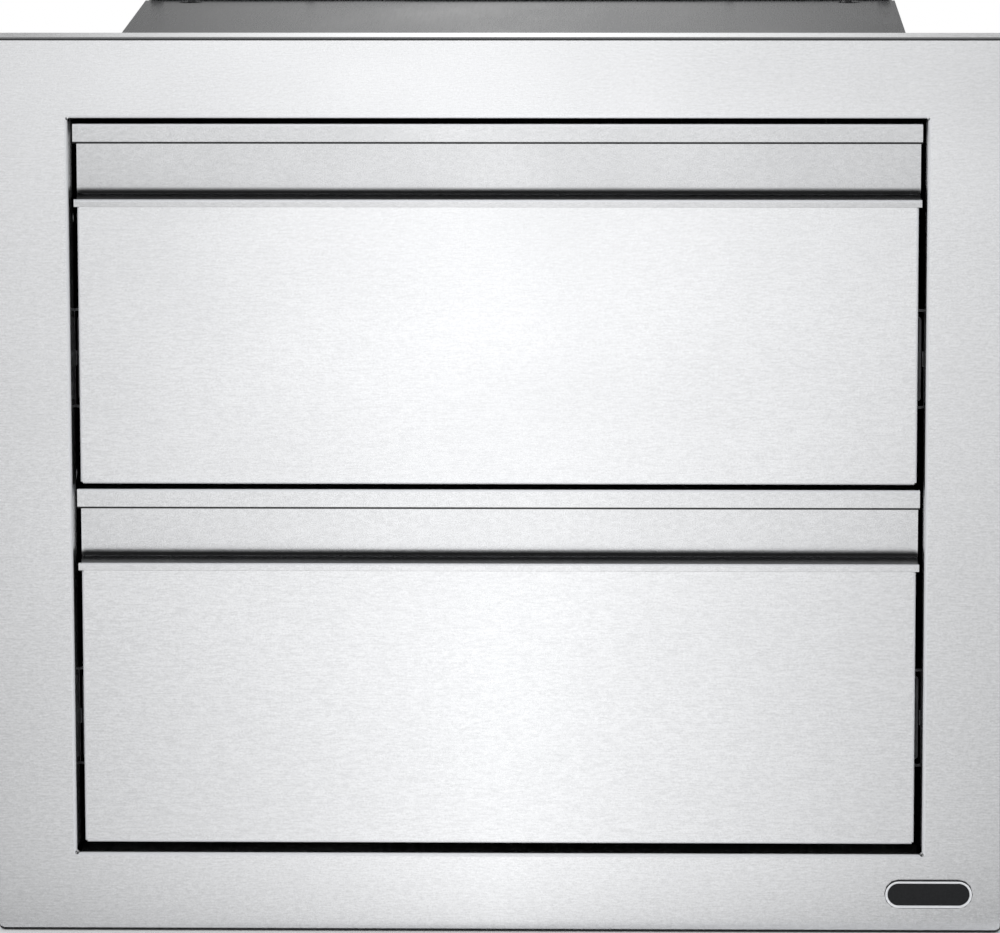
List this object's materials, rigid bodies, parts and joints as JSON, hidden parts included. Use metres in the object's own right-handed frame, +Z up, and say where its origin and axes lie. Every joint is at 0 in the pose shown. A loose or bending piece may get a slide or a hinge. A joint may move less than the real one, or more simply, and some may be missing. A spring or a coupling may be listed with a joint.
{
  "type": "outdoor kitchen drawer unit",
  "caption": "Built-in stainless drawer unit for an outdoor kitchen: face frame, sheet case and stacked drawers with recessed pulls on full-extension ball runners.",
  "frame": {"origin": "centre of the cabinet's cut-out, in the plane of the cabinet's face, which the frame's rim bears on", "axes": "+X to the right seen from the front, +Y back into the cabinet, +Z up; the drawers open towards -Y"},
  "size_m": [0.4572, 0.5096, 0.4092],
  "materials": {
    "brushed_face": "stainless steel with a fine horizontal brushed grain",
    "satin_pull": "stainless steel with a fine satin surface and no marked grain",
    "mill_steel": "unpolished mill-finish stainless sheet",
    "runner_steel": "steel strip, rolled, with a dark zinc coat",
    "ball_steel": "bright steel balls in a thin stamped steel cage",
    "rubber": "dull black rubber",
    "badge": "blank charcoal enamel field inside a light metal rim"
  },
  "bodies": {
    "case": {"badge_plate": "badge", "case_back": "mill_steel", "case_bottom": "mill_steel", "case_left_side": "mill_steel", "case_right_side": "mill_steel", "case_top": "mill_steel", "face_frame": "brushed_face", "lower_left_outer_member": "runner_steel", "lower_left_rear_buffer": "rubber", "lower_right_outer_member": "runner_steel", "lower_right_rear_buffer": "rubber", "upper_left_outer_member": "runner_steel", "upper_left_rear_buffer": "rubber", "upper_right_outer_member": "runner_steel", "upper_right_rear_buffer": "rubber"},
    "upper_drawer": {"upper_drawer_liner": "mill_steel", "upper_drawer_panel": "brushed_face", "upper_drawer_pull": "satin_pull", "upper_left_inner_member": "runner_steel", "upper_right_inner_member": "runner_steel", "upper_tray_back": "mill_steel", "upper_tray_body": "mill_steel", "upper_tray_front": "mill_steel"},
    "lower_drawer": {"lower_drawer_liner": "mill_steel", "lower_drawer_panel": "brushed_face", "lower_drawer_pull": "satin_pull", "lower_left_inner_member": "runner_steel", "lower_right_inner_member": "runner_steel", "lower_tray_back": "mill_steel", "lower_tray_body": "mill_steel", "lower_tray_front": "mill_steel"},
    "upper_left_middle": {"upper_left_middle_member": "runner_steel"},
    "upper_left_outer_cage": {"upper_left_outer_ball_cage": "ball_steel"},
    "upper_left_inner_cage": {"upper_left_inner_ball_cage": "ball_steel"},
    "upper_right_middle": {"upper_right_middle_member": "runner_steel"},
    "upper_right_outer_cage": {"upper_right_outer_ball_cage": "ball_steel"},
    "upper_right_inner_cage": {"upper_right_inner_ball_cage": "ball_steel"},
    "lower_left_middle": {"lower_left_middle_member": "runner_steel"},
    "lower_left_outer_cage": {"lower_left_outer_ball_cage": "ball_steel"},
    "lower_left_inner_cage": {"lower_left_inner_ball_cage": "ball_steel"},
    "lower_right_middle": {"lower_right_middle_member": "runner_steel"},
    "lower_right_outer_cage": {"lower_right_outer_ball_cage": "ball_steel"},
    "lower_right_inner_cage": {"lower_right_inner_ball_cage": "ball_steel"}
  },
  "joints": [
    {"name": "upper_drawer_slide", "type": "slide", "parent": "case", "child": "upper_drawer", "axis": [0, -1, 0], "range_m": [0, 0.446]},
    {"name": "lower_drawer_slide", "type": "slide", "parent": "case", "child": "lower_drawer", "axis": [0, -1, 0], "range_m": [0, 0.446]},
    {"name": "upper_left_middle_slide", "type": "slide", "parent": "case", "child": "upper_left_middle", "axis": [0, -1, 0], "range_m": [0, 0.223]},
    {"name": "upper_left_outer_cage_slide", "type": "slide", "parent": "case", "child": "upper_left_outer_cage", "axis": [0, -1, 0], "range_m": [0, 0.1115]},
    {"name": "upper_left_inner_cage_slide", "type": "slide", "parent": "case", "child": "upper_left_inner_cage", "axis": [0, -1, 0], "range_m": [0, 0.3345]},
    {"name": "upper_right_middle_slide", "type": "slide", "parent": "case", "child": "upper_right_middle", "axis": [0, -1, 0], "range_m": [0, 0.223]},
    {"name": "upper_right_outer_cage_slide", "type": "slide", "parent": "case", "child": "upper_right_outer_cage", "axis": [0, -1, 0], "range_m": [0, 0.1115]},
    {"name": "upper_right_inner_cage_slide", "type": "slide", "parent": "case", "child": "upper_right_inner_cage", "axis": [0, -1, 0], "range_m": [0, 0.3345]},
    {"name": "lower_left_middle_slide", "type": "slide", "parent": "case", "child": "lower_left_middle", "axis": [0, -1, 0], "range_m": [0, 0.223]},
    {"name": "lower_left_outer_cage_slide", "type": "slide", "parent": "case", "child": "lower_left_outer_cage", "axis": [0, -1, 0], "range_m": [0, 0.1115]},
    {"name": "lower_left_inner_cage_slide", "type": "slide", "parent": "case", "child": "lower_left_inner_cage", "axis": [0, -1, 0], "range_m": [0, 0.3345]},
    {"name": "lower_right_middle_slide", "type": "slide", "parent": "case", "child": "lower_right_middle", "axis": [0, -1, 0], "range_m": [0, 0.223]},
    {"name": "lower_right_outer_cage_slide", "type": "slide", "parent": "case", "child": "lower_right_outer_cage", "axis": [0, -1, 0], "range_m": [0, 0.1115]},
    {"name": "lower_right_inner_cage_slide", "type": "slide", "parent": "case", "child": "lower_right_inner_cage", "axis": [0, -1, 0], "range_m": [0, 0.3345]}
  ],
  "couplings": [
    {"joint": "upper_left_middle_slide", "follows": "upper_drawer_slide", "ratio": 0.5},
    {"joint": "upper_left_outer_cage_slide", "follows": "upper_drawer_slide", "ratio": 0.25},
    {"joint": "upper_left_inner_cage_slide", "follows": "upper_drawer_slide", "ratio": 0.75},
    {"joint": "upper_right_middle_slide", "follows": "upper_drawer_slide", "ratio": 0.5},
    {"joint": "upper_right_outer_cage_slide", "follows": "upper_drawer_slide", "ratio": 0.25},
    {"joint": "upper_right_inner_cage_slide", "follows": "upper_drawer_slide", "ratio": 0.75},
    {"joint": "lower_left_middle_slide", "follows": "lower_drawer_slide", "ratio": 0.5},
    {"joint": "lower_left_outer_cage_slide", "follows": "lower_drawer_slide", "ratio": 0.25},
    {"joint": "lower_left_inner_cage_slide", "follows": "lower_drawer_slide", "ratio": 0.75},
    {"joint": "lower_right_middle_slide", "follows": "lower_drawer_slide", "ratio": 0.5},
    {"joint": "lower_right_outer_cage_slide", "follows": "lower_drawer_slide", "ratio": 0.25},
    {"joint": "lower_right_inner_cage_slide", "follows": "lower_drawer_slide", "ratio": 0.75}
  ]
}
